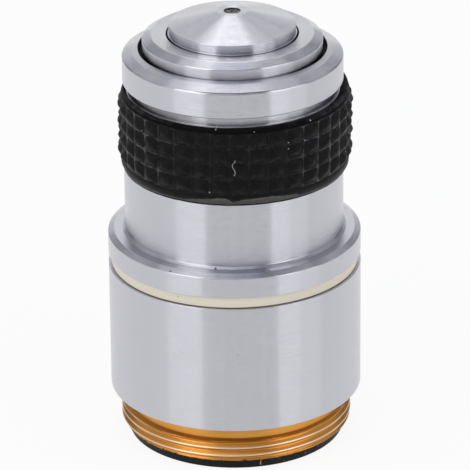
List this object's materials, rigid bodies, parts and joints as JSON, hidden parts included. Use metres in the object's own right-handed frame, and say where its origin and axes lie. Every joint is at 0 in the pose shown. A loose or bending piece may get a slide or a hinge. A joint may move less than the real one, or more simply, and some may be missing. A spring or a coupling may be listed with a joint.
{
  "type": "microscope objective",
  "caption": "Short oil-immersion microscope objective with a spring-loaded conical nose, a black rubber grip ring, a pale colour ring and a standard objective thread.",
  "frame": {"origin": "centre of the plain rim at the foot, on the optical axis", "axes": "+Z along the optical axis towards the nose; the pictured side faces -Y"},
  "size_m": [0.022, 0.022, 0.0389],
  "materials": {
    "sleeve_plate": "satin chrome plate over fine lathe lines",
    "nose_plate": "bright nickel-chrome plate over turned brass",
    "mount_brass": "bare machined brass, pilot and bore painted black",
    "inner_brass": "plain rolled brass",
    "black_metal": "matt black paint on turned brass",
    "ring_plastic": "smooth cream plastic",
    "grip_rubber": "moulded black rubber, slightly dusty",
    "screw_steel": "turned steel",
    "spring_steel": "drawn spring wire",
    "lens_glass": "polished optical glass"
  },
  "bodies": {
    "housing": {"thread_mount": "mount_brass", "rear_baffle": "black_metal", "main_sleeve": "sleeve_plate", "parfocal_shim": "inner_brass", "colour_ring": "ring_plastic", "front_sleeve": "sleeve_plate", "guide_screw": "screw_steel", "rubber_grip": "grip_rubber", "spring_retainer": "black_metal", "return_spring": "spring_steel"},
    "lens_barrel": {"nose_barrel": "nose_plate", "front_lens_cell": "nose_plate", "front_lens": "lens_glass", "meniscus_cell": "black_metal", "meniscus_lens": "lens_glass", "front_doublet_cell": "black_metal", "front_crown_lens": "lens_glass", "front_flint_lens": "lens_glass", "middle_spacer": "black_metal", "rear_doublet_cell": "black_metal", "rear_crown_lens": "lens_glass", "rear_flint_lens": "lens_glass", "rear_spacer": "black_metal", "cell_lock_ring": "black_metal"}
  },
  "joints": [
    {"name": "nose_slide", "type": "slide", "parent": "housing", "child": "lens_barrel", "axis": [0, 0, -1], "range_m": [0, 0.002], "stiffness_N_per_m": 500, "springref_m": -0.003, "deforming": ["return_spring"]}
  ]
}
